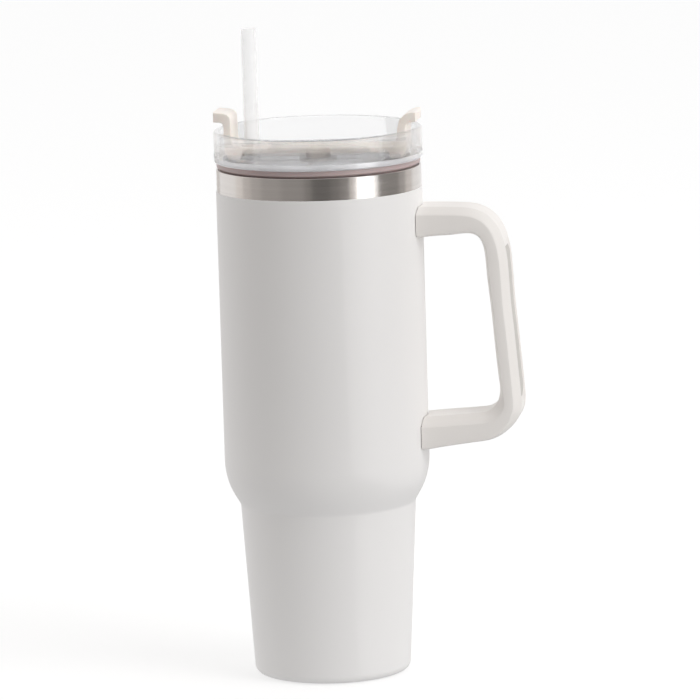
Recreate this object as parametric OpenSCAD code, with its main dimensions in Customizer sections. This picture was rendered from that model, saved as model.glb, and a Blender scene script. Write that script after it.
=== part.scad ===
// Insulated tumbler with a clear lid, turning cover, straw and side handle.
// Units: millimetres. Z up, resting plane z = 0, axis of the cup = Z,
// handle on +X, drinking straw on -X.

/* [Cup body] */
// Overall radius of the coated cup (upper, straight part)
body_r = 50; // [46:0.5:54]
// Radius of the foot that enters a cup holder
foot_r = 38.2; // [35:0.1:40]
// Radius where the lower taper meets the shoulder
waist_r = 42.7; // [40:0.1:45]
// Height where the lower taper meets the shoulder
waist_z = 84.4; // [75:0.1:95]
// Radius of the shoulder curve
shoulder_r = 34; // [28:0.5:42]
// Height where the shoulder curve becomes the straight wall
shoulder_z = 106; // [98:0.5:116]
// Rounding of the foot edge
foot_round = 4; // [2:0.5:6]
// Top edge of the powder coat
coat_top = 238.7; // [230:0.1:244]
// Top of the rolled steel lip
rim_z = 249.5; // [245:0.1:255]
// Thickness of the powder coat
coat_t = 0.25; // [0.15:0.05:0.4]
// Thickness of the outer steel wall
shell_t = 0.6; // [0.4:0.1:1]
// Distance from the coated face to the drink side of the liner
wall_total = 3.4; // [2.8:0.1:4.5]
// Thickness of the inner steel wall
liner_t = 0.5; // [0.4:0.1:0.8]
// Height of the inside floor
floor_z = 9; // [7:0.5:14]

/* [Handle] */
// Width of the handle
handle_w = 27; // [22:0.5:32]
// Width of the sloped long edges of the handle
edge_w = 4.2; // [2:0.1:5]
// Width of the soft grip inlay
grip_w = 17; // [12:0.5:21]
// Depth of the channel along the grip's outer face
channel_d = 0.85; // [0.8:0.05:1.6]
// Thickness of the soft inlay in the channel
grip_t = 0.65; // [0.5:0.05:1]
// Thickness of the pads between arms and cup
pad_t = 0.35; // [0.2:0.05:0.6]

/* [Lid] */
// Outer radius of the clear lid wall
lid_r = 50.6; // [48:0.1:54]
// Inner radius of the clear lid wall
lid_in_r = 47.8; // [45:0.1:50]
// Top of the clear lid wall
lid_top = 268; // [262:0.5:274]
// Top of the lid deck
deck_z = 252.2; // [251:0.1:254]
// Thickness of the lid deck
deck_t = 1.8; // [1.4:0.1:2.4]
// Outer radius of the plug skirt
plug_r = 45.2; // [43:0.1:46]
// Lower end of the plug skirt
plug_z = 239; // [232:0.5:244]

/* [Turning cover] */
// Width of the cover bar
bar_w = 22; // [16:0.5:28]
// Upper face of the cover bar
bar_top = 259.6; // [258:0.1:262]
// Thickness of the cover bar
bar_t = 2.8; // [1.6:0.1:3]
// Upper face of the finger tabs
tab_top = 277; // [272:0.1:282]
// Turn of the cover between its two positions, degrees
cover_turn = 60; // [40:5:70]

/* [Straw] */
// Outer radius of the straw
straw_r = 3.7; // [3:0.1:4.2]
// Wall of the straw
straw_t = 0.75; // [0.5:0.05:1.2]
// Distance of the straw from the cup axis
straw_x = 32.3; // [30:0.1:33]
// Upper end of the straw
straw_top = 316.5; // [300:0.5:330]
// Lower end of the straw
straw_low = 30; // [25:1:60]

/* [Hidden] */
$fn = 96;
skin = 0.3;
foot_z = 0.3;
steel_r = body_r - coat_t;
lip_r = (wall_total + 0.05 - coat_t) / 2;
lip_c = steel_r - lip_r;
lip_z = rim_z - lip_r;
taper = atan((waist_r - foot_r) / (waist_z - foot_z - foot_round));
sh_c = body_r - shoulder_r;
sh_a = 30.7;
inlet_r = 33.1;
arm_cut = body_r + pad_t;
plate_z = deck_z + 0.3;
plate_t = 1.0;

// ---- helper lines ----------------------------------------------------
// outer line of the cup, set in by d; listed from the foot upwards
function foot_arc(d) = [for (i = [0:6])
    let (a = -90 + i * (90 - taper) / 6)
    [foot_r - foot_round + (foot_round - d) * cos(a),
     foot_z + foot_round + (foot_round - d) * sin(a)]];
function crease(d) = [for (i = [0:3])
    let (a = 180 - taper - i * (sh_a - taper) / 3, r = 4 + d,
         cx = waist_r + 4 * 0.999 + 0.05, cz = waist_z - 0.85)
    [cx + r * cos(a), cz + r * sin(a) - (r * sin(180 - taper) - 0.0)]];
function shoulder(d) = [for (i = [0:8])
    let (a = -sh_a + i * sh_a / 8)
    [sh_c + (shoulder_r - d) * cos(a), shoulder_z + (shoulder_r - d) * sin(a)]];
function cup_line(d) = concat(foot_arc(d), crease(d), shoulder(d));
function rev(p) = [for (i = [len(p) - 1:-1:0]) p[i]];
function arc(cx, cz, r, a0, a1, n) = [for (i = [0:n])
    let (a = a0 + i * (a1 - a0) / n) [cx + r * cos(a), cz + r * sin(a)]];

// handle contour seen from the side, counter-clockwise, [x, z]
h_out = [[44, 111.1], [52.2, 111.4], [62, 112.9], [71.8, 114.3], [81.6, 115.8],
         [86.6, 117.9], [90.8, 121.0], [94.4, 124.8], [96.6, 129.2], [97.2, 134],
         [96.9, 140], [96.0, 151.4], [94.7, 167.2], [93.3, 182.9],
         [92.3, 200.6], [91.5, 208.2], [90.2, 213.9], [88.3, 218.9],
         [85.4, 223.2], [81.6, 226.5], [77.0, 228.6], [72, 229.5],
         [62, 229.9], [44, 230]];
h_in = [[44, 214.4], [55, 215.6], [64.7, 216.2], [72, 216.9], [75.5, 216.6],
        [78.3, 214.9], [80.2, 211.6], [81.1, 207.4], [82.1, 194.4],
        [83.7, 178.7], [84.9, 163.1], [86.3, 147.4], [86.9, 141.4],
        [86.4, 136.6], [84.2, 132.5], [80.6, 129.9], [74.4, 129.0],
        [64.5, 128.3], [54.7, 127.6], [44, 126.9]];
h_loop = concat(h_out, h_in);
function unit(v) = v / norm(v);
function left_n(p, i) = let (n = len(p), a = p[(i + n - 1) % n], b = p[i],
    c = p[(i + 1) % n], u = unit(b - a), w = unit(c - b), t = unit(u + w),
    k = max(0.5, t * u)) [-t[1] / k, t[0] / k];
function inset(p, d) = [for (i = [0:len(p) - 1]) p[i] + d * left_n(p, i)];

// depth of the sloped long edges: along the outer line, then the inner line
edge_in = concat(
    [for (i = [0:23]) i < 5 ? 1.0 : min(3.5, 1.0 + (i - 4) * 0.55)],
    [for (i = [0:19]) i < 13 ? 1.3 : (i == 13 ? 2.2 : (i == 14 ? 3.4 : 4.3))]);
function slope_in(p, k) = [for (i = [0:len(p) - 1]) p[i] + k * edge_in[i] * left_n(p, i)];

// the handle is built up from flat slabs; its long edges slope in by steps
module handle_slab(h, k) rotate([90, 0, 0]) translate([0, 0, -h])
    linear_extrude(height = 2 * h) polygon(slope_in(h_loop, k));
module handle_body() union() {
    for (s = [[0.857, 0], [0.595, 0.17], [0.357, 0.42], [0.167, 0.66], [0, 0.89]])
        handle_slab(handle_w / 2 - edge_w * s[0], s[1]);
}

module ring(r0, r1, z0, z1) {
    translate([0, 0, z0]) difference() {
        cylinder(r = r1, h = z1 - z0);
        translate([0, 0, -1]) cylinder(r = r0, h = z1 - z0 + 2);
    }
}

module disc(r, z0, z1) { translate([0, 0, z0]) cylinder(r = r, h = z1 - z0); }

// ---- cup -------------------------------------------------------------
module outer_shell() color([0.72, 0.71, 0.70])
    rotate_extrude() polygon(concat(
        [[inlet_r, foot_z + coat_t]],
        cup_line(coat_t),
        arc(lip_c, lip_z, lip_r, 0, 180, 10),
        arc(lip_c, lip_z, lip_r - shell_t, 180, 0, 8),
        rev(cup_line(coat_t + shell_t)),
        [[inlet_r + shell_t, foot_z + coat_t + shell_t], [inlet_r + shell_t, 3],
         [inlet_r, 3]]));

module powder_coat() color([0.93, 0.92, 0.91]) difference() {
    rotate_extrude() polygon(concat(
        [[inlet_r + 0.2, foot_z]], cup_line(0),
        [[body_r, coat_top - 0.1], [body_r - 0.1, coat_top], [steel_r + 0.01, coat_top]],
        rev(cup_line(coat_t - 0.01)), [[inlet_r + 0.2, foot_z + coat_t - 0.01]]));
    translate([45, -7.3, 218.4]) cube([10, 14.6, 8.2]);
    translate([45, -7.3, 115.9]) cube([10, 14.6, 8.2]);
}

module inner_liner() color([0.70, 0.69, 0.68])
    rotate_extrude() polygon(concat(
        [[0, floor_z - liner_t]],
        arc(foot_r - wall_total - 5.2, floor_z + 6, 6 + liner_t, -90, -taper, 6),
        [for (p = crease(wall_total - liner_t)) p],
        shoulder(wall_total - liner_t),
        [[body_r - wall_total + liner_t, lip_z - 0.05],
         [body_r - wall_total, lip_z - 0.05]],
        rev(shoulder(wall_total)), rev(crease(wall_total)),
        arc(foot_r - wall_total - 5.2, floor_z + 6, 6, -taper, -90, 6),
        [[0, floor_z]]));

module base_plate() color([0.66, 0.65, 0.64]) difference() {
    disc(inlet_r - 0.05, 2.2, 3.0);
    disc(3.05, 1, 4);
}

module bottom_cover() color([0.90, 0.89, 0.87]) difference() {
    disc(32.9, 0, 1.9);
    ring(27, 29, -0.1, 0.4);
}

module vacuum_getter() color([0.45, 0.44, 0.43])
    translate([16, 0, 0]) disc(7, 3.05, 5.2);

module vacuum_seal() color([0.30, 0.30, 0.30]) union() {
    disc(3, 2.05, 3.05);
    disc(4.2, 3.05, 3.8);
}

// ---- handle ----------------------------------------------------------
module bracket(z0, h) difference() {
    union() {
        translate([48, -7, z0]) cube([14.5, 14, h]);
        translate([48, -5, z0 + 1.2]) cube([19, 10, h - 2.4]);
    }
    cylinder(r = steel_r + 0.01, h = 300);
    translate([57, 0, z0 - 1]) cylinder(r = 1.3, h = h - 1);
}
module upper_bracket() color([0.62, 0.61, 0.60]) bracket(218.7, 7.6);
module lower_bracket() color([0.62, 0.61, 0.60]) bracket(116.2, 7.6);

module bracket_room(z0, h) union() {
    translate([45, -7.1, z0 - 0.1]) cube([17.6, 14.2, h + 0.2]);
    translate([45, -5.1, z0 + 1.1]) cube([22.1, 10.2, h - 2.2]);
}

// strip of the grip's outer side, from the face to the depth e
function grip_line(e) = [for (i = [10:15]) inset(h_loop, e)[i]];
module grip_strip(e0, e1, w) rotate([90, 0, 0]) translate([0, 0, -w / 2])
    linear_extrude(height = w) polygon(concat(grip_line(e0), rev(grip_line(e1))));

module handle_frame() color([0.92, 0.91, 0.90]) difference() {
    handle_body();
    translate([0, 0, 100]) cylinder(r = arm_cut + 0.02, h = 140);
    bracket_room(218.7, 7.6);
    bracket_room(116.2, 7.6);
    grip_strip(-2, channel_d + grip_t + 0.05, grip_w + 0.1);
    translate([57, 0, 210]) cylinder(r = 1.7, h = 10, $fn = 32);
    translate([57, 0, 210]) cylinder(r = 3.3, h = 7.9, $fn = 32);
    translate([57, 0, 105]) cylinder(r = 1.7, h = 12, $fn = 32);
    translate([57, 0, 105]) cylinder(r = 3.3, h = 10, $fn = 32);
}

module handle_grip() color([0.80, 0.79, 0.77]) grip_strip(channel_d, channel_d + grip_t, grip_w);

module pad(z0, z1, zc) intersection() {
    ring(body_r + 0.02, arm_cut, z0, z1);
    difference() {
        translate([40, -12.6, z0]) cube([20, 25.2, z1 - z0]);
        translate([40, -7.4, zc - 4.1]) cube([20, 14.8, 8.2]);
    }
}
module handle_pads() color([0.35, 0.34, 0.33]) union() {
    pad(215.9, 226.2, 222.5);
    pad(112.8, 123.2, 120);
}

module screw(z0, z1, zt) union() {
    translate([57, 0, z0]) difference() {
        cylinder(r = 2.9, h = z1 - z0);
        translate([0, 0, -0.5]) cylinder(r = 1.3, h = 1.6);
    }
    translate([57, 0, z1]) cylinder(r = 1.25, h = zt - z1);
}
module handle_screws() color([0.60, 0.60, 0.60]) union() {
    screw(215.9, 217.85, 224.1);
    screw(113.1, 114.95, 121.6);
}
module screw_plugs() color([0.88, 0.87, 0.86]) union() {
    translate([57, 0, 215.5]) cylinder(r = 3.15, h = 0.35);
    translate([57, 0, 112.35]) cylinder(r = 3.15, h = 0.7);
}

// ---- lid -------------------------------------------------------------
module arc_slot(rm, hw, a0, a1, z0, z1)
    translate([0, 0, z0]) linear_extrude(height = z1 - z0) polygon(concat(
        [for (i = [0:15]) let (a = a0 + i * (a1 - a0) / 15)
            (rm + hw) * [cos(a), sin(a)]],
        [for (i = [1:9]) let (b = a1 + i * 18)
            rm * [cos(a1), sin(a1)] + hw * [cos(b), sin(b)]],
        [for (i = [0:15]) let (a = a1 - i * (a1 - a0) / 15)
            (rm - hw) * [cos(a), sin(a)]],
        [for (i = [1:9]) let (b = a0 + 180 + i * 18)
            rm * [cos(a0), sin(a0)] + hw * [cos(b), sin(b)]]));

module lid_body() color([0.88, 0.89, 0.90, 0.35]) difference() {
    rotate_extrude() polygon([
        [0, deck_z - deck_t], [plug_r - 1.8, deck_z - deck_t],
        [plug_r - 1.8, plug_z + 0.8], [plug_r - 1.4, plug_z],
        [plug_r - 0.5, plug_z], [plug_r, plug_z + 0.6], [plug_r, deck_z + 0.7],
        [lid_r - 0.5, deck_z + 0.7], [lid_r, deck_z + 1.2], [lid_r, lid_top - 0.8],
        [lid_r - 0.25, lid_top - 0.2], [lid_r - 0.8, lid_top],
        [lid_in_r + 0.8, lid_top], [lid_in_r + 0.25, lid_top - 0.2],
        [lid_in_r, lid_top - 0.8], [lid_in_r, deck_z + 2.2],
        [lid_in_r - 0.6, deck_z + 1.8], [44.6, deck_z + 1.8], [44.6, deck_z],
        [0, deck_z]]);
    disc(3.4, 240, 260);
    arc_slot(straw_x, straw_r + 0.7, 180, 180 + cover_turn, 240, 260);
    rotate([0, 0, 270 + cover_turn]) translate([30, 0, 240]) cylinder(r = 1.4, h = 20, $fn = 32);
}

module lid_gasket() color([0.66, 0.58, 0.57])
    rotate_extrude() polygon([
        [plug_r + 0.03, 241], [plug_r + 0.6, 241], [plug_r + 0.6, 242],
        [46.2, 242.5], [46.2, 243.1], [plug_r + 0.6, 243.6],
        [plug_r + 0.6, 245.2], [46.2, 245.7], [46.2, 246.3], [plug_r + 0.6, 246.8],
        [plug_r + 0.6, rim_z - 0.6], [46.83, rim_z - 0.6], [47.18, rim_z - 0.25],
        [47.63, rim_z - 0.02], [47.9, rim_z + 0.06], [47.95, 250.4],
        [49.0, 250.4], [49.4, 250.7], [49.4, 252.5],
        [49.0, 252.85], [plug_r + 0.03, 252.85]]);

// ---- turning cover ---------------------------------------------------
// side line of the cover, straw side (x < 0) then handle side
cov = [
    [-36.0, bar_top], [-39.0, 260.4], [-40.3, 262.2], [-40.7, 264.5], [-40.7, 272.6],
    [-41.1, 274.6], [-42.3, 275.8], [-44.4, 276.5], [-49.6, tab_top],
    [-50.3, 276.5], [-50.4, 275.0], [-50.2, 273.2], [-49.4, 272.2], [-46.2, 272.0],
    [-44.9, 271.5], [-44.4, 270.2], [-44.4, 258.0], [-43.8, 256.0], [-42.5, 255.0],
    [-42.5, 253.6], [-36.2, 253.6], [-36.2, 256.0], [-34.9, bar_top - bar_t],
    [34.9, bar_top - bar_t], [36.2, 256.0], [36.2, 253.6], [42.5, 253.6],
    [42.5, 255.0], [43.6, 256.0], [44.2, 258.0], [44.4, 262.0], [44.5, 268.6],
    [45.1, 270.2], [46.4, 271.0], [49.4, 271.4], [50.2, 272.1], [50.4, 274.3],
    [50.1, 275.6], [49.2, 276.1], [47.2, 276.0], [45.1, 275.4], [43.1, 274.2],
    [41.6, 272.6], [40.8, 270.6], [40.3, 268.0], [40.1, 264.4], [39.6, 262.0],
    [38.2, 260.4], [36.0, bar_top]];

module rotating_cover() color([0.95, 0.93, 0.90]) difference() {
    union() {
        intersection() {
            rotate([90, 0, 0]) translate([0, 0, -bar_w / 2])
                linear_extrude(height = bar_w) polygon(cov);
            union() {
                disc(50.4, 262, 290);
                disc(46.4, 254.6, 263);
                disc(43.95, 250, 254.7);
            }
        }
        disc(6, plate_z + plate_t + 0.05, bar_top - 0.5);
        disc(3.0, deck_z - deck_t - 0.35, bar_top - 0.5);
    }
    disc(1.55, 240, 258.4);
    disc(4.4, bar_top - 0.7, bar_top + 3);
    translate([-straw_x, 0, 250]) cylinder(r = 5.35, h = 20);
    translate([-straw_x, 0, 250]) cylinder(r = 6.4, h = 7.45);
    translate([-straw_x, 0, bar_top]) cylinder(r = 6.4, h = 1);
}

module cover_plate() color([0.90, 0.90, 0.90, 0.4]) difference() {
    disc(44.2, plate_z, plate_z + plate_t);
    disc(3.05, 240, 260);
    translate([-straw_x, 0, 240]) cylinder(r = straw_r + 0.6, h = 20);
    rotate([0, 0, 147]) translate([straw_x, 0, 240]) cylinder(r = 4.2, h = 20);
    rotate([0, 0, 270]) translate([30, 0, 240]) cylinder(r = 1.4, h = 20, $fn = 32);
}

module pivot_screw() color([0.62, 0.61, 0.60]) union() {
    difference() {
        disc(3.6, 246.9, 249.2);
        disc(1.4, 246.5, 248.1);
    }
    disc(1.5, 249.2, 258.2);
}
module pivot_washer() color([0.70, 0.69, 0.68]) ring(1.6, 6.2, 249.25, 250.0);
module pivot_cap() color([0.93, 0.91, 0.88]) disc(4.35, bar_top - 0.65, bar_top + 0.1);

module straw_grommet() color([0.90, 0.88, 0.86]) translate([-straw_x, 0, 0])
    rotate_extrude() polygon([
        [4.1, 256.5], [6.3, 256.5], [6.3, 257.3], [5.3, 257.35], [5.3, 259.65],
        [6.3, 259.7], [6.3, 260.2], [6.0, 260.5], [4.1, 260.5]]);

module straw() color([0.92, 0.92, 0.92, 0.5]) translate([-straw_x, 0, 0])
    ring(straw_r - straw_t, straw_r, straw_low, straw_top);

module straw_stop() color([0.90, 0.90, 0.90]) translate([-straw_x, 0, 0])
    rotate_extrude() polygon([
        [straw_r + 0.02, 62], [4.6, 62], [5.0, 62.5], [5.0, 64.5], [4.6, 65],
        [straw_r + 0.02, 65]]);

outer_shell();
powder_coat();
inner_liner();
base_plate();
bottom_cover();
vacuum_getter();
vacuum_seal();
upper_bracket();
lower_bracket();
handle_frame();
handle_grip();
handle_pads();
handle_screws();
screw_plugs();
lid_body();
lid_gasket();
rotating_cover();
cover_plate();
pivot_screw();
pivot_washer();
pivot_cap();
straw_grommet();
straw();
straw_stop();
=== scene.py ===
import math
import bpy
import bmesh
from mathutils import Vector, Matrix, Quaternion


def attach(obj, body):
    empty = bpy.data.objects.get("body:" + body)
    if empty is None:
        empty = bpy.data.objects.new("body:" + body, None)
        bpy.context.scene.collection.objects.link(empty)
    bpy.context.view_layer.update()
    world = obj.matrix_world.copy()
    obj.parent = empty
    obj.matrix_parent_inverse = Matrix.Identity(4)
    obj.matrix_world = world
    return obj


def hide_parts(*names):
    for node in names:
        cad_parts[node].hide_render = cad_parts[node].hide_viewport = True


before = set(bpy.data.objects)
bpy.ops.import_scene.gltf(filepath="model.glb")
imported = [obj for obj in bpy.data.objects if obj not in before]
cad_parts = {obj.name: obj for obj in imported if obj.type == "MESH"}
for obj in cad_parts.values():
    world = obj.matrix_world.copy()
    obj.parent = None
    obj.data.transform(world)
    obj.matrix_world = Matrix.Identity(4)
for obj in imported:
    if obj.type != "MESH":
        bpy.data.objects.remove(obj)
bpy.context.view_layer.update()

MM = 0.001

# ---------------------------------------------------------------- camera
AZ, EL, ROLL = math.radians(8.5), math.radians(9.523), math.radians(1.708)
DIST, TARGET = 2.92442, Vector((0, 0, 0.141757))
back = Vector((math.sin(AZ) * math.cos(EL), -math.cos(AZ) * math.cos(EL), math.sin(EL)))
cam_data = bpy.data.cameras.new("main_camera")
cam_data.lens, cam_data.sensor_width = 308.6, 36.0
cam_data.shift_x, cam_data.shift_y = 0.0357, 0.0492
cam_data.clip_start, cam_data.clip_end = 0.05, 60
cam = bpy.data.objects.new("main_camera", cam_data)
bpy.context.scene.collection.objects.link(cam)
cam.location = TARGET + back * DIST
cam.rotation_mode = "QUATERNION"
cam.rotation_quaternion = (-back).to_track_quat("-Z", "Y") @ Quaternion((0, 0, 1), -ROLL)
bpy.context.scene.camera = cam


# ---------------------------------------------------------------- mesh tools
def link(name, me):
    ob = bpy.data.objects.new(name, me)
    bpy.context.scene.collection.objects.link(ob)
    return ob


def build(name, verts, faces, sharp=32.0):
    me = bpy.data.meshes.new(name)
    me.from_pydata([(x * MM, y * MM, z * MM) for x, y, z in verts], [], faces)
    bm = bmesh.new()
    bm.from_mesh(me)
    bmesh.ops.remove_doubles(bm, verts=bm.verts, dist=1e-7)
    bmesh.ops.dissolve_degenerate(bm, edges=bm.edges, dist=1e-8)
    bmesh.ops.recalc_face_normals(bm, faces=bm.faces)
    bm.to_mesh(me)
    bm.free()
    me.shade_smooth()
    me.set_sharp_from_angle(angle=math.radians(sharp))
    return link(name, me)


def arc(cx, cz, r, a0, a1, n):
    return [(cx + r * math.cos(math.radians(a0 + (a1 - a0) * i / n)),
             cz + r * math.sin(math.radians(a0 + (a1 - a0) * i / n))) for i in range(n + 1)]


def rounded(points, radius, n=4, closed=True):
    """Rounds the corners of a line of (x, z) or (x, z, r) points."""
    out, m = [], len(points)
    for i, p in enumerate(points):
        r = p[2] if len(p) > 2 else radius
        if (not closed and i in (0, m - 1)) or r <= 0:
            out.append((p[0], p[1]))
            continue
        a, b = points[i - 1], points[(i + 1) % m]
        u = Vector((a[0] - p[0], a[1] - p[1]))
        w = Vector((b[0] - p[0], b[1] - p[1]))
        lu, lw = u.length, w.length
        if lu < 1e-9 or lw < 1e-9:
            continue
        u, w = u / lu, w / lw
        ang = math.acos(max(-1, min(1, u.dot(w))))
        if ang > math.pi - 0.05:
            out.append((p[0], p[1]))
            continue
        t = min(r / math.tan(ang / 2), 0.46 * lu, 0.46 * lw)
        rr = t * math.tan(ang / 2)
        c = Vector((p[0], p[1])) + (u + w).normalized() * (rr / math.sin(ang / 2))
        s = Vector((p[0], p[1])) + u * t - c
        e = Vector((p[0], p[1])) + w * t - c
        turn = math.atan2(s.x * e.y - s.y * e.x, s.dot(e))
        for k in range(n + 1):
            q = turn * k / n
            out.append((c.x + s.x * math.cos(q) - s.y * math.sin(q),
                        c.y + s.x * math.sin(q) + s.y * math.cos(q)))
    return out


def revolve(name, prof, seg=224, cx=0.0, cy=0.0, sharp=32.0):
    verts, faces, rows = [], [], []
    for r, z in prof:
        if abs(r) < 1e-6:
            rows.append([len(verts)] * seg)
            verts.append((cx, cy, z))
        else:
            rows.append(list(range(len(verts), len(verts) + seg)))
            for k in range(seg):
                a = 2 * math.pi * k / seg
                verts.append((cx + r * math.cos(a), cy + r * math.sin(a), z))
    n = len(rows)
    for i in range(n):
        p, q = rows[i], rows[(i + 1) % n]
        if p[0] == p[1 % seg] and q[0] == q[1 % seg]:
            continue
        for k in range(seg):
            f = [p[k], p[(k + 1) % seg], q[(k + 1) % seg], q[k]]
            f = [v for j, v in enumerate(f) if v not in f[:j]]
            if len(f) > 2:
                faces.append(f)
    return build(name, verts, faces, sharp)


def spline(pts, step, closed=False):
    """Centripetal Catmull-Rom through pts, resampled about every step."""
    P = [Vector(p) for p in pts]
    ext = [2 * P[0] - P[1]] + P + [2 * P[-1] - P[-2]]
    out = []
    for i in range(1, len(ext) - 2):
        p0, p1, p2, p3 = ext[i - 1:i + 3]
        t0 = 0.0
        t1 = t0 + (p1 - p0).length ** 0.5
        t2 = t1 + (p2 - p1).length ** 0.5
        t3 = t2 + (p3 - p2).length ** 0.5
        n = max(1, round((p2 - p1).length / step))
        for k in range(n):
            t = t1 + (t2 - t1) * k / n
            a1 = (t1 - t) / (t1 - t0) * p0 + (t - t0) / (t1 - t0) * p1
            a2 = (t2 - t) / (t2 - t1) * p1 + (t - t1) / (t2 - t1) * p2
            a3 = (t3 - t) / (t3 - t2) * p2 + (t - t2) / (t3 - t2) * p3
            b1 = (t2 - t) / (t2 - t0) * a1 + (t - t0) / (t2 - t0) * a2
            b2 = (t3 - t) / (t3 - t1) * a2 + (t - t1) / (t3 - t1) * a3
            c = (t2 - t) / (t2 - t1) * b1 + (t - t1) / (t2 - t1) * b2
            out.append((c.x, c.y))
    out.append((P[-1].x, P[-1].y))
    return out


def inset(loop, d):
    """Moves a counter-clockwise loop inwards by d."""
    n, out = len(loop), []
    for i in range(n):
        a, b, c = Vector(loop[i - 1]), Vector(loop[i]), Vector(loop[(i + 1) % n])
        u, w = (b - a).normalized(), (c - b).normalized()
        t = (u + w)
        t = t.normalized() if t.length > 1e-6 else u
        k = max(0.5, t.dot(u))
        out.append((b.x - t.y / k * d, b.y + t.x / k * d))
    return out


def slab(name, loop, width, edge, steps=6, across=2, warp=None, sharp=34.0):
    """Solid with side outline loop (x, z), running across y, its long edges rounded."""
    rows = []
    h = width / 2 - edge
    for i in range(steps + 1):
        q = math.radians(90 - 90 * i / steps)
        rows.append((-h - edge * math.sin(q), edge * (1 - math.cos(q))))
    for i in range(1, across):
        rows.append((-h + 2 * h * i / across, 0.0))
    for i in range(steps + 1):
        q = math.radians(90 * i / steps)
        rows.append((h + edge * math.sin(q), edge * (1 - math.cos(q))))
    verts, faces, n = [], [], len(loop)
    for y, d in rows:
        for i, (x, z) in enumerate(inset(loop, d)):
            v = (x, y, z)
            verts.append(warp(v, i) if warp else v)
    for j in range(len(rows) - 1):
        for i in range(n):
            k = (i + 1) % n
            faces.append([j * n + i, j * n + k, (j + 1) * n + k, (j + 1) * n + i])
    faces.append(list(range(n)))
    faces.append([(len(rows) - 1) * n + i for i in range(n - 1, -1, -1)])
    return build(name, verts, faces, sharp)


def cutter(kind, *a):
    """A closed shape to cut with: a drum (x, y, r, z0, z1) or a prism of outline points."""
    if kind == "drum":
        x, y, r, z0, z1 = a
        pts = [(x + r * math.cos(2 * math.pi * k / 96), y + r * math.sin(2 * math.pi * k / 96)) for k in range(96)]
    else:
        pts, z0, z1 = a
    n = len(pts)
    verts = [(x, y, z0) for x, y in pts] + [(x, y, z1) for x, y in pts]
    faces = [[i, (i + 1) % n, n + (i + 1) % n, n + i] for i in range(n)]
    faces += [list(range(n - 1, -1, -1)), list(range(n, 2 * n))]
    return build("cutter", verts, faces)


def cut(ob, tools, op="DIFFERENCE", sharp=32.0):
    for t in tools:
        m = ob.modifiers.new("cut", "BOOLEAN")
        m.operation, m.solver, m.object = op, "EXACT", t
    dg = bpy.context.evaluated_depsgraph_get()
    me = bpy.data.meshes.new_from_object(ob.evaluated_get(dg))
    ob.modifiers.clear()
    old, ob.data = ob.data, me
    me.name = ob.name
    bpy.data.meshes.remove(old)
    for t in tools:
        bpy.data.objects.remove(t, do_unlink=True)
    me.shade_smooth()
    me.set_sharp_from_angle(angle=math.radians(sharp))


def arc_slot(rm, hw, a0, a1):
    pts = [((rm + hw) * math.cos(math.radians(a)), (rm + hw) * math.sin(math.radians(a)))
           for a in [a0 + (a1 - a0) * i / 40 for i in range(41)]]
    c = (rm * math.cos(math.radians(a1)), rm * math.sin(math.radians(a1)))
    pts += [(c[0] + hw * math.cos(math.radians(a1 + b)), c[1] + hw * math.sin(math.radians(a1 + b)))
            for b in range(12, 180, 12)]
    pts += [((rm - hw) * math.cos(math.radians(a)), (rm - hw) * math.sin(math.radians(a)))
            for a in [a1 - (a1 - a0) * i / 40 for i in range(41)]]
    c = (rm * math.cos(math.radians(a0)), rm * math.sin(math.radians(a0)))
    pts += [(c[0] + hw * math.cos(math.radians(a0 + 180 + b)), c[1] + hw * math.sin(math.radians(a0 + 180 + b)))
            for b in range(12, 180, 12)]
    return pts


def rounded_slab_edges(ob, width=0.0004, segments=3, angle=30):
    m = ob.modifiers.new("edge", "BEVEL")
    m.width, m.segments, m.limit_method, m.angle_limit = width, segments, "ANGLE", math.radians(angle)
    m.harden_normals = False


# ---------------------------------------------------------------- materials
def srgb(r, g, b):
    def f(c):
        c /= 255.0
        return c / 12.92 if c <= 0.04045 else ((c + 0.055) / 1.055) ** 2.4
    return (f(r), f(g), f(b))


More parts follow.
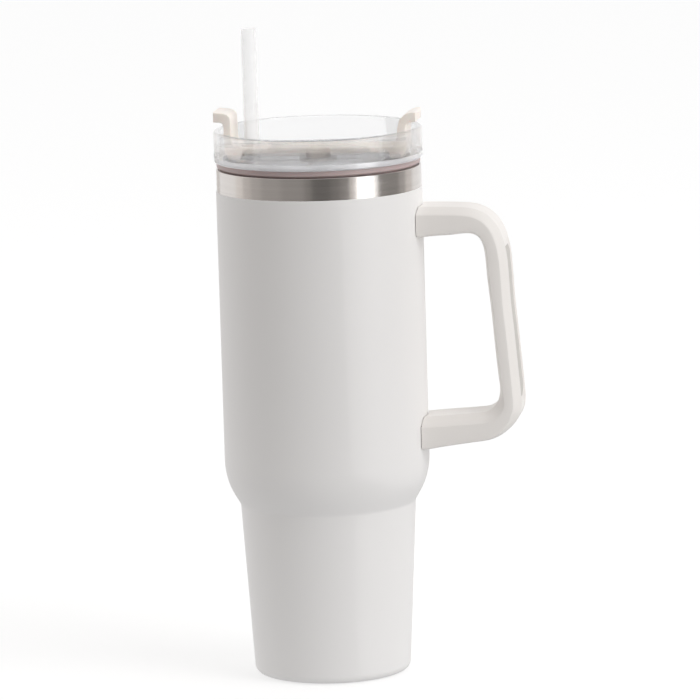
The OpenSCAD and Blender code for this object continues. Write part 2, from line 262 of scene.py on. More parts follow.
def finish_mat(name, color, rough, metal=0.0, var=0.03, var_scale=(25, 25, 25),
               rough_var=0.06, rough_scale=(160, 160, 160), bump_scale=(1500, 1500, 1500),
               bump=0.25, bump_mm=0.02, spec=0.5, trans=0.0, ior=1.5, coat=0.0, coat_rough=0.1,
               sss=0.0, sss_mm=2.0, aniso=0.0, sheen=0.0, detail=4.0, alpha=1.0):
    m = bpy.data.materials.new(name)
    m.use_nodes = True
    nt = m.node_tree
    nt.nodes.clear()
    N, L = nt.nodes.new, nt.links.new
    out = N("ShaderNodeOutputMaterial")
    p = N("ShaderNodeBsdfPrincipled")
    L(p.outputs[0], out.inputs["Surface"])
    tc = N("ShaderNodeTexCoord")

    def noise(scale, det, rough_):
        mp = N("ShaderNodeMapping")
        mp.inputs["Scale"].default_value = scale
        L(tc.outputs["Object"], mp.inputs["Vector"])
        nz = N("ShaderNodeTexNoise")
        nz.inputs["Scale"].default_value = 1.0
        nz.inputs["Detail"].default_value = det
        nz.inputs["Roughness"].default_value = rough_
        L(mp.outputs[0], nz.inputs["Vector"])
        return nz.outputs["Fac"]

    cr = N("ShaderNodeValToRGB")
    lo = [max(0.0, c * (1 - var)) for c in color]
    hi = [min(1.0, c * (1 + var)) for c in color]
    cr.color_ramp.elements[0].position, cr.color_ramp.elements[1].position = 0.3, 0.7
    cr.color_ramp.elements[0].color = (*lo, 1)
    cr.color_ramp.elements[1].color = (*hi, 1)
    L(noise(var_scale, 3.0, 0.55), cr.inputs[0])
    L(cr.outputs[0], p.inputs["Base Color"])

    mr = N("ShaderNodeMapRange")
    mr.inputs["From Min"].default_value, mr.inputs["From Max"].default_value = 0.3, 0.7
    mr.inputs["To Min"].default_value = max(0.0, rough - rough_var)
    mr.inputs["To Max"].default_value = min(1.0, rough + rough_var)
    L(noise(rough_scale, detail, 0.6), mr.inputs["Value"])
    L(mr.outputs[0], p.inputs["Roughness"])

    bp = N("ShaderNodeBump")
    bp.inputs["Strength"].default_value = bump
    bp.inputs["Distance"].default_value = bump_mm * MM
    L(noise(bump_scale, detail, 0.6), bp.inputs["Height"])
    L(bp.outputs[0], p.inputs["Normal"])

    p.inputs["Metallic"].default_value = metal
    p.inputs["Specular IOR Level"].default_value = spec
    p.inputs["Transmission Weight"].default_value = trans
    p.inputs["IOR"].default_value = ior
    p.inputs["Coat Weight"].default_value = coat
    p.inputs["Coat Roughness"].default_value = coat_rough
    p.inputs["Subsurface Weight"].default_value = sss
    p.inputs["Subsurface Scale"].default_value = sss_mm * MM
    p.inputs["Anisotropic"].default_value = aniso
    p.inputs["Sheen Weight"].default_value = sheen
    p.inputs["Alpha"].default_value = alpha
    m.diffuse_color = (*color, 1)
    return m


COAT = finish_mat("powder_coat_white", (0.875, 0.862, 0.855), 0.46, var=0.012, var_scale=(9, 9, 9),
                  rough_var=0.05, rough_scale=(900, 900, 900), bump_scale=(1700, 1700, 1700),
                  bump=0.35, bump_mm=0.03, spec=0.45, detail=3.0)
HANDLE = finish_mat("handle_satin", (0.90, 0.868, 0.838), 0.44, var=0.015, var_scale=(14, 14, 14),
                    rough_var=0.05, rough_scale=(700, 700, 700), bump_scale=(1500, 1500, 1500),
                    bump=0.25, bump_mm=0.025, spec=0.42, detail=3.0)
# grip inlay colour: partly the inlay's own darker tone and partly painted shade, darkened to stand in for the shade in
# the handle's channel
GRIP_TONE_AND_SHADE = finish_mat("grip_soft_touch_painted_shade", (0.60, 0.573, 0.543), 0.68, var=0.03, var_scale=(40, 40, 40),
                  rough_var=0.06, rough_scale=(500, 500, 500), bump_scale=(2200, 2200, 2200),
                  bump=0.5, bump_mm=0.04, spec=0.3, sheen=0.15)
STEEL = finish_mat("steel_band_brushed", (0.66, 0.625, 0.60), 0.17, metal=1.0, var=0.04, var_scale=(12, 12, 900),
                   rough_var=0.05, rough_scale=(18, 18, 2600), bump_scale=(14, 14, 5200),
                   bump=0.16, bump_mm=0.006, detail=5.0)
LINER = finish_mat("steel_inside", (0.62, 0.60, 0.58), 0.30, metal=1.0, var=0.05, var_scale=(20, 20, 400),
                   rough_var=0.07, rough_scale=(25, 25, 1500), bump_scale=(18, 18, 3200),
                   bump=0.3, bump_mm=0.01, detail=5.0)
SHEET = finish_mat("steel_sheet_plain", (0.50, 0.49, 0.48), 0.42, metal=1.0, var=0.08, var_scale=(60, 60, 60),
                   rough_var=0.1, rough_scale=(300, 300, 300), bump=0.2, bump_mm=0.02)
SCREW = finish_mat("screw_stainless", (0.63, 0.63, 0.62), 0.24, metal=1.0, var=0.05, var_scale=(300, 300, 60),
                   rough_var=0.08, rough_scale=(900, 900, 900), bump_scale=(60, 60, 3000), bump=0.2, bump_mm=0.01)
GETTER = finish_mat("getter_sintered", (0.12, 0.12, 0.12), 0.8, metal=0.4, var=0.2, var_scale=(700, 700, 700),
                    rough_var=0.1, bump=0.6, bump_mm=0.08, bump_scale=(1800, 1800, 1800))
RESIN = finish_mat("seal_resin_dark", (0.05, 0.05, 0.055), 0.3, var=0.2, var_scale=(90, 90, 90), coat=0.3)
PAD = finish_mat("pad_rubber_dark", (0.06, 0.057, 0.055), 0.75, var=0.15, var_scale=(200, 200, 200),
                 bump=0.4, bump_mm=0.03, spec=0.3)
BASEP = finish_mat("base_cover_matte", (0.72, 0.71, 0.69), 0.6, var=0.03, var_scale=(30, 30, 30),
                   bump=0.5, bump_mm=0.04, bump_scale=(1200, 1200, 1200), spec=0.35)
CLEAR = finish_mat("lid_clear_copolyester", (0.90, 0.902, 0.908), 0.012, var=0.006, var_scale=(15, 15, 15),
                   rough_var=0.008, rough_scale=(90, 90, 90), bump_scale=(40, 40, 25),
                   bump=0.08, bump_mm=0.02, trans=1.0, ior=1.48, detail=2.0, alpha=0.45)
# painted highlight: a whiter, less clear band of the lid plastic that stands in for the bright refraction streaks along
# the lid's lower wall and the deck's cut edges
LID_PAINTED_HIGHLIGHT = finish_mat("lid_clear_painted_highlight_band", (0.96, 0.96, 0.985), 0.08, metal=0.10, var=0.02, var_scale=(120, 120, 120),
                  rough_var=0.04, rough_scale=(200, 200, 200), bump_scale=(330, 330, 330),
                  bump=0.6, bump_mm=0.08, trans=0.62, ior=1.5, detail=3.0)
FROST = finish_mat("lid_deck_translucent", (0.945, 0.945, 0.96), 0.16, var=0.015, var_scale=(30, 30, 30),
                   rough_var=0.05, rough_scale=(160, 160, 160), bump_scale=(240, 240, 240),
                   bump=0.2, bump_mm=0.02, trans=0.3, ior=1.46, detail=3.0)
PLATE = finish_mat("cover_plate_clear", (0.93, 0.93, 0.945), 0.05, var=0.01, var_scale=(20, 20, 20),
                   rough_var=0.02, rough_scale=(120, 120, 120), bump_scale=(90, 90, 90),
                   bump=0.2, bump_mm=0.02, trans=0.65, ior=1.46, detail=2.0, alpha=0.85)
GASKET = finish_mat("gasket_silicone_mauve", srgb(184, 166, 165), 0.38, var=0.05, var_scale=(30, 30, 30),
                    rough_var=0.06, rough_scale=(200, 200, 200), bump_scale=(600, 600, 600), bump=0.2,
                    bump_mm=0.02, sss=0.15, sss_mm=1.0, spec=0.45)
CREAM = finish_mat("cover_cream_satin", (0.945, 0.872, 0.805), 0.33, var=0.012, var_scale=(22, 22, 22),
                   rough_var=0.05, rough_scale=(450, 450, 450), bump_scale=(1300, 1300, 1300),
                   bump=0.2, bump_mm=0.015, sss=0.08, sss_mm=1.2, spec=0.5)
SILI = finish_mat("silicone_pale", (0.80, 0.78, 0.75), 0.42, var=0.03, var_scale=(60, 60, 60),
                  rough_var=0.06, rough_scale=(300, 300, 300), bump=0.25, bump_mm=0.02, sss=0.2, sss_mm=1.0)
STRAW = finish_mat("straw_frosted_clear", (0.93, 0.93, 0.932), 0.17, var=0.008, var_scale=(60, 60, 12),
                   rough_var=0.02, rough_scale=(150, 150, 12), bump_scale=(260, 260, 14),
                   bump=0.02, bump_mm=0.02, trans=0.45, ior=1.22, detail=1.5, alpha=0.4)


def dress(ob, mat, body, nodes):
    ob.data.materials.clear()
    ob.data.materials.append(mat)
    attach(ob, body)
    if nodes:
        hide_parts(*nodes)


# ---------------------------------------------------------------- cup
BODY_R, FOOT_R, WAIST_R, WAIST_Z = 50.0, 38.2, 42.7, 84.4
SH_R, SH_Z, FOOT_RND, FOOT_Z = 34.0, 106.0, 4.0, 0.3
COAT_TOP, RIM, COAT_T, SHELL_T, WALL, LINER_T, FLOOR = 238.7, 249.5, 0.25, 0.6, 3.4, 0.5, 9.0
STEEL_R = BODY_R - COAT_T
LIP_R = (WALL + 0.05 - COAT_T) / 2
LIP_C, LIP_Z = STEEL_R - LIP_R, RIM - LIP_R
TAPER = math.degrees(math.atan((WAIST_R - FOOT_R) / (WAIST_Z - FOOT_Z - FOOT_RND)))
SH_C, SH_A = BODY_R - SH_R, 30.7


def foot(d, n=12):
    return arc(FOOT_R - FOOT_RND, FOOT_Z + FOOT_RND, FOOT_RND - d, -90, -TAPER, n)


def crease(d, n=8):
    cx, cz = WAIST_R + 4 * 0.999 + 0.05, WAIST_Z - 0.85
    r = 4 + d
    off = r * math.sin(math.radians(180 - TAPER))
    return [(x, z - off) for x, z in arc(cx, cz, r, 180 - TAPER, 180 - SH_A, n)]


def shoulder(d, n=18):
    return arc(SH_C, SH_Z, SH_R - d, -SH_A, 0, n)


def wall(z0, z1, r, n):
    return [(r, z0 + (z1 - z0) * i / n) for i in range(1, n + 1)]


def cup_line(d):
    f, c, s = foot(d), crease(d), shoulder(d)
    a, b = f[-1], c[0]
    mid = [(a[0] + (b[0] - a[0]) * i / 8, a[1] + (b[1] - a[1]) * i / 8) for i in range(1, 8)]
    return f + mid + c + s


coat_prof = [(33.3, FOOT_Z + 0.06)] + [(33.4, FOOT_Z)] + cup_line(0) + wall(SH_Z, COAT_TOP - 0.45, BODY_R, 10) \
    + [(BODY_R - 0.23 * (1 - math.cos(math.radians(a))), COAT_TOP - 0.45 + 0.45 * math.sin(math.radians(a)))
       for a in (18, 36, 54, 72, 90)] + [(STEEL_R + 0.01, COAT_TOP)] \
    + cup_line(COAT_T - 0.01)[::-1] + [(33.3, FOOT_Z + COAT_T - 0.01)]
coat = revolve("cup_powder_coat", coat_prof, 256)
dress(coat, COAT, "tumbler", ["powder_coat"])

shell_prof = [(33.1, FOOT_Z + COAT_T)] + cup_line(COAT_T) \
    + wall(SH_Z, LIP_Z, STEEL_R, 8)[:-1] \
    + arc(STEEL_R - 0.55, RIM - 0.55, 0.55, 0, 90, 8) + arc(BODY_R - WALL - 0.05 + 1.55, RIM - 1.55, 1.55, 90, 180, 12) \
    + [(BODY_R - WALL - 0.05, LIP_Z)] + arc(LIP_C, LIP_Z, LIP_R - SHELL_T, 180, 0, 12) \
    + cup_line(COAT_T + SHELL_T)[::-1] + [(33.7, FOOT_Z + COAT_T + SHELL_T), (33.7, 3.0), (33.1, 3.0)]
shell = revolve("cup_outer_shell", shell_prof, 256)
dress(shell, STEEL, "tumbler", ["outer_shell"])

cr = FOOT_R - WALL - 5.2
liner_prof = [(0, FLOOR - LINER_T), (9, FLOOR - LINER_T), (18, FLOOR - LINER_T)] \
    + arc(cr, FLOOR + 6, 6 + LINER_T, -90, -TAPER, 10) + crease(WALL - LINER_T) + shoulder(WALL - LINER_T) \
    + wall(SH_Z, LIP_Z - 0.05, BODY_R - WALL + LINER_T, 6) + [(BODY_R - WALL, LIP_Z - 0.05)] \
    + shoulder(WALL)[::-1] + crease(WALL)[::-1] + arc(cr, FLOOR + 6, 6, -TAPER, -90, 10) \
    + [(18, FLOOR), (17, FLOOR + 0.25), (9, FLOOR + 0.25), (8, FLOOR), (0, FLOOR)]
liner = revolve("cup_inner_liner", liner_prof, 224)
dress(liner, LINER, "tumbler", ["inner_liner"])

base_prof = [(0, 0.5), (11.0, 0.5), (11.6, 0.35), (12.0, 0.0), (26.6, 0.0), (27.0, 0.1), (27.2, 0.42), (28.8, 0.42), (29.0, 0.1),
             (29.4, 0.0), (32.2, 0.0), (32.7, 0.15), (32.9, 0.6), (32.9, 1.9), (0, 1.9)]
base = revolve("cup_bottom_cover", base_prof, 192)
dress(base, BASEP, "tumbler", ["bottom_cover"])

# ---------------------------------------------------------------- handle
H_OUT = [(48, 111.0), (52.2, 111.4), (62, 112.9), (71.8, 114.3), (81.6, 115.8), (86.6, 117.9), (90.8, 121.0),
         (94.4, 124.8), (96.6, 129.2), (97.2, 134), (96.9, 140), (96.0, 151.4), (94.7, 167.2), (93.3, 182.9),
         (92.3, 200.6), (91.5, 208.2), (90.2, 213.9), (88.3, 218.9), (85.4, 223.2), (81.6, 226.5), (77.0, 228.6),
         (72, 229.5), (62, 229.9), (48, 230)]
H_IN = [(48, 214.8), (55, 215.6), (64.7, 216.2), (72, 216.9), (75.5, 216.6), (78.3, 214.9), (80.2, 211.6),
        (81.1, 207.4), (82.1, 194.4), (83.7, 178.7), (84.9, 163.1), (86.3, 147.4), (86.9, 141.4), (86.4, 136.6),
        (84.2, 132.5), (80.6, 129.9), (74.4, 129.0), (64.5, 128.3), (54.7, 127.6), (48, 127.1)]
hout, hin = spline(H_OUT, 1.3), spline(H_IN, 1.3)
loop = hout + hin
NO = len(hout)
CH_W, CH_D = 8.6, 1.4


def smooth(t):
    t = max(0.0, min(1.0, t))
    return t * t * (3 - 2 * t)


def handle_warp(v, i):
    x, y, z = v
    if i in (0, NO - 1, NO, len(loop) - 1):
        x = 48.0
    if x < 56.0:
        xe = math.sqrt(50.38 ** 2 - y * y)
        return (xe + max(0.0, x - 48.0) * (56.0 - xe) / 8.0, y, z)
    if i < NO and 118 < z < 222 and x > 84:
        f = smooth((z - 126) / 12) * smooth((216 - z) / 14) * (1 - smooth((abs(y) - (CH_W - 0.9)) / 1.4))
        if f > 0:
            return (x - CH_D * f, y, z)
    return v


def edge_depth(i, x, z):
    """How far the long edge slopes in at a point of the side line."""
    if i < NO:
        return 1.0 + 2.5 * smooth((z - 115.5) / 13)
    return 1.3 + 3.4 * smooth((141 - z) / 10)


def handle_piece():
    h, ew = 13.5, 4.2
    side = [(h, 1.0, 0.34), (h - 0.05, 1.0, 0.16), (h - 0.17, 1.0, 0.02), (h - 0.34, 0.93, 0.0)] \
        + [(h - ew * u, (1 - u) ** 1.12, 0.0) for u in (0.15, 0.22, 0.3, 0.4, 0.5, 0.6, 0.7, 0.8, 0.9, 1.0)]
    ys = [-9.05, -8.75, -8.4, -8.05, -7.7, -7.3, -6.9, -5.0, -2.5, 0, 2.5, 5.0, 6.9, 7.3, 7.7, 8.05, 8.4, 8.75, 9.05]
    rows = [(-y, v, w) for y, v, w in side] + [(y, 0.0, 0.0) for y in ys] + side[::-1]
    verts, faces, n = [], [], len(loop)
    deep = [edge_depth(i, x, z) for i, (x, z) in enumerate(loop)]
    full = inset(loop, 1.0)
    for y, v, w in rows:
        for i, (x, z) in enumerate(loop):
            d = deep[i] * v + w
            verts.append(handle_warp((x + d * (full[i][0] - x), y, z + d * (full[i][1] - z)), i))
    for j in range(len(rows) - 1):
        for i in range(n):
            k = (i + 1) % n
            faces.append([j * n + i, j * n + k, (j + 1) * n + k, (j + 1) * n + i])
    # the two flat sides, as strips between the outer and the inner line
    m = len(hin)
    for j in (0, len(rows) - 1):
        o = [j * n + i for i in range(NO)]
        q = [j * n + NO + m - 1 - i for i in range(m)]
        a = b = 0
        while a < NO - 1 or b < m - 1:
            if b == m - 1 or (a < NO - 1 and (a + 1) / (NO - 1) <= (b + 1) / (m - 1)):
                faces.append([o[a], o[a + 1], q[b]])
                a += 1
            else:
                faces.append([o[a], q[b + 1], q[b]])
                b += 1
    return build("handle_frame_body", verts, faces, 28.0)


handle = handle_piece()
cut(handle, [cutter("drum", 57, 0, 3.3, 105, 115.0), cutter("drum", 57, 0, 3.3, 210, 217.9)], sharp=28.0)
dress(handle, HANDLE, "tumbler", ["handle_frame"])


def grip_piece():
    """Soft strip on the channel's floor, softly crowned."""
    zs = [134.6 + t for t in (0, 0.12, 0.35, 0.7, 1.2, 1.9, 2.7, 3.6)] + [139.0 + 0.76 * i for i in range(89)] \
        + [210.3 - t for t in (3.6, 2.7, 1.9, 1.2, 0.7, 0.35, 0.12, 0)]
    side = [p for p in hout if p[0] > 84]

    def face_x(z):
        best = None
        for a, b in zip(side, side[1:]):
            if min(a[1], b[1]) <= z <= max(a[1], b[1]) and abs(b[1] - a[1]) > 1e-9:
                x = a[0] + (b[0] - a[0]) * (z - a[1]) / (b[1] - a[1])
                best = x if best is None else max(best, x)
        return best if best is not None else 90.0
    ys = [-7.6, -7.45, -7.1, -6.5, -5.5, -4.0, -2.0, 0.0, 2.0, 4.0, 5.5, 6.5, 7.1, 7.45, 7.6]
    verts, faces = [], []
    nz, ny = len(zs), len(ys)
    for side_i in (0, 1):
        for iz, z in enumerate(zs):
            f = smooth((z - 126) / 12) * smooth((216 - z) / 14)
            dz = min(z - zs[0], zs[-1] - z)
            wide = (3.4 + math.sqrt(max(0.0, 4.2 ** 2 - (4.2 - dz) ** 2))) / 7.6 if dz < 4.2 else 1.0
            for y in [v * wide for v in ys]:
                x = face_x(z) - CH_D * f
                if side_i == 0:
                    edge = min(1.0, (7.6 * wide - abs(y)) / 0.9)
                    end = min(1.0, min(z - zs[0], zs[-1] - z) / 1.0)
                    ramp = smooth((z - 134) / 6) * smooth((211 - z) / 6)
                    x += 0.98 * ramp * math.sqrt(max(0.0, min(edge, end) * (2 - min(edge, end)))) - 0.1
                else:
                    x -= 0.25
                verts.append((x, y, z))
    o = nz * ny
    for iz in range(nz - 1):
        for iy in range(ny - 1):
            a = iz * ny + iy
            faces.append([a, a + 1, a + ny + 1, a + ny])
            faces.append([o + a, o + a + ny, o + a + ny + 1, o + a + 1])
    for iz in range(nz - 1):
        for iy in (0, ny - 1):
            a, b = iz * ny + iy, (iz + 1) * ny + iy
            faces.append([a, b, o + b, o + a])
    for iy in range(ny - 1):
        for iz in (0, nz - 1):
            a = iz * ny + iy
            faces.append([a, a + 1, o + a + 1, o + a])
    return build("handle_grip_inlay", verts, faces, 40.0)


grip = grip_piece()
dress(grip, GRIP_TONE_AND_SHADE, "tumbler", ["handle_grip"])

plug_lo = revolve("screw_plug_low", [(0, 112.35), (2.6, 112.4), (3.0, 112.6), (3.15, 113.05), (0, 113.05)], 64, 57, 0)
plug_hi = revolve("screw_plug_high", [(0, 215.55), (2.7, 215.58), (3.1, 215.7), (3.15, 215.85), (0, 215.85)], 64, 57, 0)
dress(plug_lo, HANDLE, "tumbler", ["screw_plugs"])
dress(plug_hi, HANDLE, "tumbler", [])

# ---------------------------------------------------------------- lid
LID_R, LID_IN, LID_TOP, DECK, DECK_T, PLUG_R, PLUG_Z = 50.6, 47.8, 268.0, 252.2, 1.8, 45.2, 239.0
lid_pts = [(0, DECK - DECK_T, 0), (9.2, DECK - DECK_T), (9.6, DECK - DECK_T - 1.0), (11.2, DECK - DECK_T - 1.0), (11.6, DECK - DECK_T),
           (PLUG_R - 1.8, DECK - DECK_T, 0.8), (PLUG_R - 1.8, PLUG_Z + 0.8, 0.4), (PLUG_R - 1.4, PLUG_Z, 0.4),
           (PLUG_R - 0.5, PLUG_Z, 0.4), (PLUG_R, PLUG_Z + 0.6, 0.3), (PLUG_R, DECK + 0.7, 0.3),
           (LID_R - 0.5, DECK + 0.7, 0.3), (LID_R, DECK + 1.2, 0.4), (LID_R, 255.8, 0), (LID_R, LID_TOP, 1.15),
           (LID_IN, LID_TOP, 1.15), (LID_IN, DECK + 2.2, 0.8), (LID_IN - 0.6, DECK + 1.8, 0.4),
           (44.6, DECK + 1.8, 0.35), (44.6, DECK, 0.5), (0, DECK, 0)]
lid = revolve("lid_clear_body", rounded(lid_pts, 0.3, 5), 224, sharp=40.0)
a_v = math.radians(330)
cut(lid, [cutter("drum", 0, 0, 3.4, 240, 258),
          cutter("prism", arc_slot(32.3, 4.4, 180, 240), 240, 258),
          cutter("drum", 30 * math.cos(a_v), 30 * math.sin(a_v), 1.4, 240, 258)], sharp=40.0)
dress(lid, CLEAR, "lid", ["lid_body"])
lid.data.materials.append(FROST)
lid.data.materials.append(LID_PAINTED_HIGHLIGHT)
# material 2 is the painted highlight band (outer wall below 255.8 mm and the deck's cut edges); material 1 is the
# translucent deck
for poly in lid.data.polygons:
    c, r = poly.center, math.hypot(poly.center.x, poly.center.y)
    if 0.0502 < r and c.z < 0.2558:
        poly.material_index = 2
    elif 0.2504 < c.z < 0.2522 and r < 0.043 and abs(poly.normal.z) < 0.5:
        poly.material_index = 2
    elif c.z < 0.25415 and r < 0.0481:
        poly.material_index = 1

g = PLUG_R + 0.03
gasket_pts = [(g, 241), (g + 0.57, 241), (g + 0.57, 242.0), (46.2, 242.5), (46.2, 243.1), (g + 0.57, 243.6),
              (g + 0.57, 245.2), (46.2, 245.7), (46.2, 246.3), (g + 0.57, 246.8), (g + 0.57, 248.9),
              (46.83, 248.9), (47.18, 249.25), (47.63, 249.48), (47.9, 249.57), (47.95, 250.4),
              (49.4, 250.4), (49.4, 252.85), (g, 252.85)]
gasket = revolve("lid_gasket_ring", rounded(gasket_pts, 0.28, 4), 224, sharp=50.0)
dress(gasket, GASKET, "lid", ["lid_gasket"])

# ---------------------------------------------------------------- turning cover
BAR_TOP, BAR_T, TAB = 259.6, 2.8, 277.0
COV = [(-36.0, BAR_TOP), (-39.0, 260.4), (-40.3, 262.2), (-40.7, 264.5), (-40.7, 272.6), (-41.1, 274.6),
       (-42.3, 275.8), (-44.4, 276.5), (-49.6, TAB), (-50.3, 276.5), (-50.4, 275.0), (-50.2, 273.2),
       (-49.4, 272.2), (-46.2, 272.0), (-44.9, 271.5), (-44.4, 270.2), (-44.4, 258.0), (-43.8, 256.0),
       (-42.5, 255.0), (-42.5, 253.65), (-36.2, 253.65), (-36.2, 256.0), (-34.9, BAR_TOP - BAR_T),
       (34.9, BAR_TOP - BAR_T), (36.2, 256.0), (36.2, 253.65), (42.5, 253.65), (42.5, 255.0), (43.6, 256.0),
       (44.2, 258.0), (44.4, 262.0), (44.5, 268.6), (45.1, 270.2), (46.4, 271.0), (49.4, 271.4), (50.2, 272.1),
       (50.4, 274.3), (50.1, 275.6), (49.2, 276.1), (47.2, 276.0), (45.1, 275.4), (43.1, 274.2),
       (41.6, 272.6), (40.8, 270.6), (40.3, 268.0), (40.1, 264.4), (39.6, 262.0), (38.2, 260.4), (36.0, BAR_TOP)]


def limit(v, i=0):
    x, y, z = v
    top = 50.35 if z > 263.5 else (46.3 if z > 255.6 else 43.85)
    r = math.hypot(x, y)
    if r > top:
        x = math.copysign(math.sqrt(max(0.0, top * top - y * y)), x)
    return (x, y, z)


cov_loop = []
cr_pts = rounded(COV, 0.9, 4)
for p, q in zip(cr_pts, cr_pts[1:] + cr_pts[:1]):
    d = math.hypot(q[0] - p[0], q[1] - p[1])
    n = max(1, int(d / 2.5))
    for k in range(n):
        cov_loop.append((p[0] + (q[0] - p[0]) * k / n, p[1] + (q[1] - p[1]) * k / n))
cover = slab("cover_turning_bar", cov_loop, 22.0, 0.6, steps=5, across=14, warp=limit, sharp=40.0)
boss = revolve("cover_boss", rounded([(0, 250.06, 0), (3.0, 250.06, 0.2), (3.0, 253.6, 0), (6.0, 253.6, 0.3), (6.6, 257.0, 0.6),
                                      (9.5, 257.5, 0), (9.5, 258.4, 0), (0, 258.4, 0)], 0.2, 3), 96)
cut(cover, [boss], "UNION", sharp=40.0)
cut(cover, [cutter("drum", -32.3, 0, 5.35, 250, 268), cutter("drum", 0, 0, 4.4, BAR_TOP - 0.7, BAR_TOP + 3)], sharp=40.0)
dress(cover, CREAM, "cover", ["rotating_cover"])

cap = revolve("cover_pivot_cap", rounded([(0, 259.75, 0), (2.6, 259.7, 0.4), (4.1, 259.45, 0.3), (4.3, 258.95, 0.1), (0, 258.95, 0)], 0.2, 4), 96)
dress(cap, CREAM, "cover", ["pivot_cap"])

PZ = DECK + 0.3
plate_pts = [(0, PZ, 0), (44.2, PZ, 0.25), (44.2, PZ + 1.0, 0.35), (42.9, PZ + 1.0, 0), (42.6, PZ + 0.75, 0), (42.2, PZ + 0.75, 0), (41.9, PZ + 1.0, 0),
             (0, PZ + 1.0, 0)]
plate = revolve("cover_clear_plate", rounded(plate_pts, 0.2, 4), 224, sharp=40.0)
a_s = math.radians(147)
cut(plate, [cutter("drum", 0, 0, 3.05, 240, 258), cutter("drum", -32.3, 0, 4.3, 240, 258),
            cutter("drum", 32.3 * math.cos(a_s), 32.3 * math.sin(a_s), 4.2, 240, 258),
            cutter("drum", 0, -30, 1.4, 240, 258)], sharp=40.0)
dress(plate, PLATE, "cover", ["cover_plate"])

grommet = revolve("cover_straw_grommet", rounded([(4.1, 256.5), (6.3, 256.5), (6.3, 257.35), (5.3, 257.4), (5.3, 259.62),
                                                  (6.3, 259.66), (6.2, 260.3), (5.6, 260.5), (4.1, 260.5)], 0.22, 4), 96, -32.3, 0)
dress(grommet, SILI, "cover", ["straw_grommet"])

# ---------------------------------------------------------------- straw
SR, ST = 3.7, 0.75
sp = [(SR - ST, 30.0, 0.3), (SR, 30.0, 0.3)] + [(SR, 30 + 286.5 * i / 12, 0) for i in range(1, 12)] \
    + [(SR, 316.5, 0.34), (SR - ST, 316.5, 0.34)] + [(SR - ST, 316.5 - 286.5 * i / 12, 0) for i in range(1, 12)]
straw = revolve("straw_tube", rounded(sp, 0.3, 4), 96, -32.3, 0, sharp=50.0)
dress(straw, STRAW, "straw", ["straw"])
stop = revolve("straw_stop_ring", rounded([(SR + 0.02, 62), (4.6, 62), (5.0, 62.5), (5.0, 64.5), (4.6, 65), (SR + 0.02, 65)], 0.3, 4),
               96, -32.3, 0)
dress(stop, SILI, "straw", ["straw_stop"])

# ---------------------------------------------------------------- pieces kept from the frame
for node, mat in {"base_plate": SHEET, "vacuum_getter": GETTER, "vacuum_seal": RESIN, "upper_bracket": SHEET,
                  "lower_bracket": SHEET, "handle_pads": PAD, "handle_screws": SCREW, "pivot_screw": SCREW,
                  "pivot_washer": SCREW}.items():
    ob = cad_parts[node]
    for i in range(max(1, len(ob.material_slots))):
        if ob.material_slots:
            ob.material_slots[i].material = mat
        else:
            ob.data.materials.append(mat)


# ---------------------------------------------------------------- stage
def plain(name, color, emit, rough=0.9):
    m = bpy.data.materials.new(name)
    m.use_nodes = True
    p = m.node_tree.nodes["Principled BSDF"]
    p.inputs["Base Color"].default_value = (*color, 1)
    p.inputs["Roughness"].default_value = rough
    p.inputs["Emission Color"].default_value = (1, 1, 1, 1)
    p.inputs["Emission Strength"].default_value = emit
    return m


fl = bpy.data.meshes.new("floor")
fl.from_pydata([(-14, -14, -5e-5), (14, -14, -5e-5), (14, 14, -5e-5), (-14, 14, -5e-5)], [], [[0, 1, 2, 3]])
floor = link("floor", fl)
fl.materials.append(plain("floor_pale", (0.5, 0.5, 0.5), 0.555))
floor.visible_diffuse = False
floor.visible_glossy = False


def card(name, a0, a1, z0, z1, value, radius=0.75, tint=(1, 1, 1)):
    """Curved studio card round the object, a0..a1 degrees to the right of the camera, seen by the object only."""
    n = max(2, int(abs(a1 - a0) / 3))
    vs, fs = [], []
    for i in range(n + 1):
        a = math.radians(-90 + 8.5 + a0 + (a1 - a0) * i / n)
        vs += [(radius * math.cos(a), radius * math.sin(a), z0), (radius * math.cos(a), radius * math.sin(a), z1)]
    for i in range(n):
        fs.append([2 * i, 2 * i + 2, 2 * i + 3, 2 * i + 1])
    me = bpy.data.meshes.new(name)
    me.from_pydata(vs, [], fs)
    ob = link(name, me)
    m = bpy.data.materials.new(name)
    m.use_nodes = True
    nt = m.node_tree
    nt.nodes.clear()
    o, e = nt.nodes.new("ShaderNodeOutputMaterial"), nt.nodes.new("ShaderNodeEmission")
    e.inputs["Color"].default_value = (*tint, 1)
    e.inputs["Strength"].default_value = value
    nt.links.new(e.outputs[0], o.inputs["Surface"])
    me.materials.append(m)
    ob.visible_camera = False
    ob.visible_transmission = False
    ob.visible_shadow = False
    return ob


WARM = (1.0, 0.965, 0.935)
card("card_left_back", -160, -145, 0.0, 1.3, 0.7, tint=WARM)
card("card_left_edge", -104, -92, 0.0, 1.3, 0.88, tint=WARM)
card("card_left_far", -92, -80, 0.0, 1.3, 0.63, tint=WARM)
card("card_left_mid", -80, -66, 0.0, 1.3, 0.50, tint=WARM)
card("card_left", -66, -42, 0.0, 1.3, 0.41, tint=WARM)
card("card_left_near", -42, -16, 0.0, 1.3, 0.35, tint=WARM)
card("card_front_left", -16, -8, 0.0, 1.3, 0.27, tint=WARM)
card("card_front", -8, 12, 0.0, 1.3, 0.165, tint=WARM)
card("card_front_mid", 12, 22, 0.0, 1.3, 0.22, tint=WARM)
card("card_front_right", 22, 33, 0.0, 1.1, 0.29, tint=WARM)
card("card_near_soft", 33, 41, 0.0, 1.0, 0.75, tint=WARM)
card("softbox_right", 41, 62, 0.0, 0.95, 2.3)
card("card_right_near", 62, 67, 0.0, 0.95, 1.25)
card("card_right", 67, 98, 0.0, 0.9, 0.30, tint=WARM)
card("card_right_far", 98, 110, 0.0, 0.9, 0.46, tint=WARM)
card("card_right_edge", 110, 125, 0.0, 0.9, 0.76, tint=WARM)

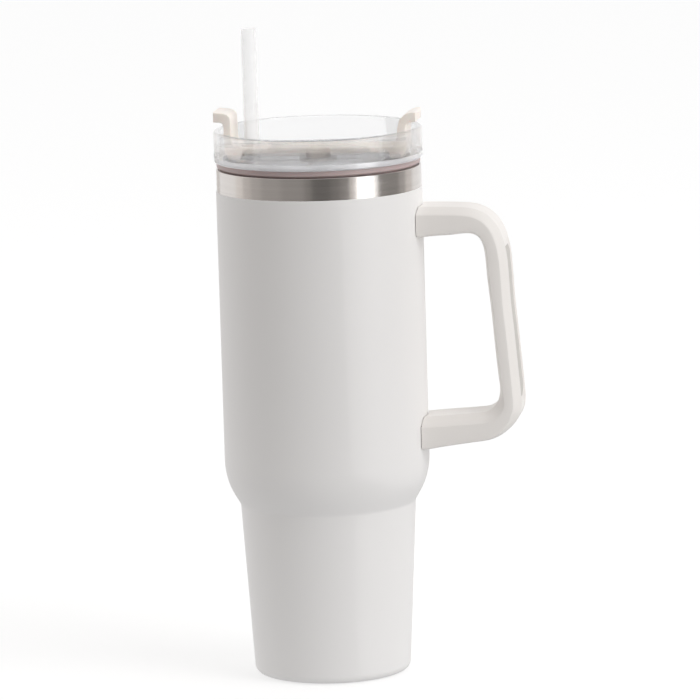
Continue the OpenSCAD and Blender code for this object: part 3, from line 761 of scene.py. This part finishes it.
world = bpy.data.worlds.new("studio")
bpy.context.scene.world = world
world.use_nodes = True
wn = world.node_tree
bg = wn.nodes["Background"]
bg.inputs["Color"].default_value = (1, 1, 1, 1)
wtc, wsx, wcr = (wn.nodes.new(t) for t in ("ShaderNodeTexCoord", "ShaderNodeSeparateXYZ", "ShaderNodeValToRGB"))
wmr = wn.nodes.new("ShaderNodeMapRange")
wn.links.new(wtc.outputs["Generated"], wsx.inputs[0])
wn.links.new(wsx.outputs["Z"], wmr.inputs["Value"])
wmr.inputs["From Min"].default_value, wmr.inputs["From Max"].default_value = -1.0, 1.0
wn.links.new(wmr.outputs[0], wcr.inputs[0])
ramp = wcr.color_ramp
ramp.elements[0].position, ramp.elements[0].color = 0.21, (0.52, 0.52, 0.52, 1)
ramp.elements[1].position, ramp.elements[1].color = 0.44, (1, 1, 1, 1)
for pos, v in ((0.66, 1.0), (0.85, 0.70), (1.0, 0.62)):
    ramp.elements.new(pos).color = (v, v, v, 1)
wn.links.new(wcr.outputs[0], bg.inputs["Color"])
bg.inputs["Strength"].default_value = 1.0


def area(name, loc, aim, size, power, size_y=None):
    d = bpy.data.lights.new(name, "AREA")
    d.energy = power
    d.shape = "RECTANGLE"
    d.size, d.size_y = size, size_y or size
    o = bpy.data.objects.new(name, d)
    bpy.context.scene.collection.objects.link(o)
    o.location = loc
    o.rotation_mode = "QUATERNION"
    o.rotation_quaternion = (Vector(aim) - Vector(loc)).to_track_quat("-Z", "Y")
    return o


def at(az, el, dist):
    a, e = math.radians(-90 + 8.5 + az), math.radians(el)
    return (dist * math.cos(a) * math.cos(e), dist * math.sin(a) * math.cos(e), 0.14 + dist * math.sin(e))


for light in (area("soft_right", at(58, 37, 1.5), (0, 0, 0.17), 1.3, 9.8),
              area("soft_fill", at(-12, 38, 1.7), (0, 0, 0.17), 1.4, 3.5),
              area("soft_left", at(-98, 18, 1.8), (0, 0, 0.15), 1.3, 2.2),
              area("soft_top", (0.1, 0.1, 2.2), (0, 0, 0.2), 1.2, 2.0)):
    light.visible_glossy = False
    if light.name == "soft_left":
        light.data.color = (1.0, 0.94, 0.89)

bpy.context.scene.view_settings.view_transform = "Standard"
bpy.context.scene.view_settings.look = "None"
bpy.context.scene.view_settings.exposure = 0.0
